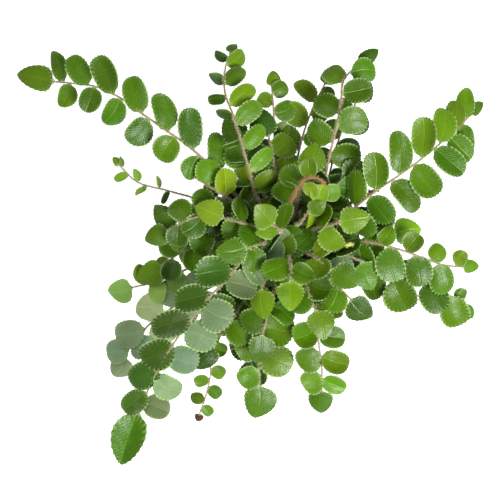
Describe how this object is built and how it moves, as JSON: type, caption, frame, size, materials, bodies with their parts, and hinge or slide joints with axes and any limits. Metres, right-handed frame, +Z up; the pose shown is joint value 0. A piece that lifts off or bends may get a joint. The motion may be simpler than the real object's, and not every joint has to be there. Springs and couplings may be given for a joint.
{
  "type": "potted button fern",
  "caption": "Bushy house plant with long arching fronds of round leathery leaflets, growing in a plain round nursery pot.",
  "frame": {"origin": "middle of the pot's flat base", "axes": "+Z up, out of the pot; +Y and +X are the directions that point up and right in a view from above"},
  "size_m": [0.2784, 0.2513, 0.1818],
  "materials": {
    "pot": "matt, lightly scuffed",
    "soil": "rough, peat and bark",
    "leaf": "satin",
    "young": "satin, with fine hairs"
  },
  "bodies": {
    "root": {"pot": "pot", "soil": "soil", "frond_01": "leaf", "frond_02": "leaf", "frond_03": "leaf", "frond_04": "leaf", "frond_05": "leaf", "frond_06": "leaf", "frond_07": "leaf", "frond_08": "leaf", "frond_09": "leaf", "frond_10": "leaf", "frond_11": "leaf", "frond_12": "leaf", "frond_13": "leaf", "frond_14": "leaf", "frond_15": "leaf", "frond_16": "leaf", "frond_17": "leaf", "frond_18": "leaf", "frond_19": "leaf", "frond_20": "leaf", "frond_21": "leaf", "frond_22": "leaf", "frond_23": "leaf", "frond_24": "leaf", "frond_25": "leaf", "frond_26": "leaf", "frond_27": "leaf", "frond_28": "leaf", "frond_29": "leaf", "frond_30": "leaf", "frond_31": "leaf", "frond_32": "leaf", "frond_33": "leaf", "frond_34": "leaf", "frond_35": "leaf", "frond_36": "leaf", "frond_37": "leaf", "frond_38": "leaf", "frond_39": "leaf", "frond_40": "leaf", "crozier_1": "young", "crozier_2": "young", "crozier_3": "young", "crozier_4": "young"}
  },
  "joints": []
}
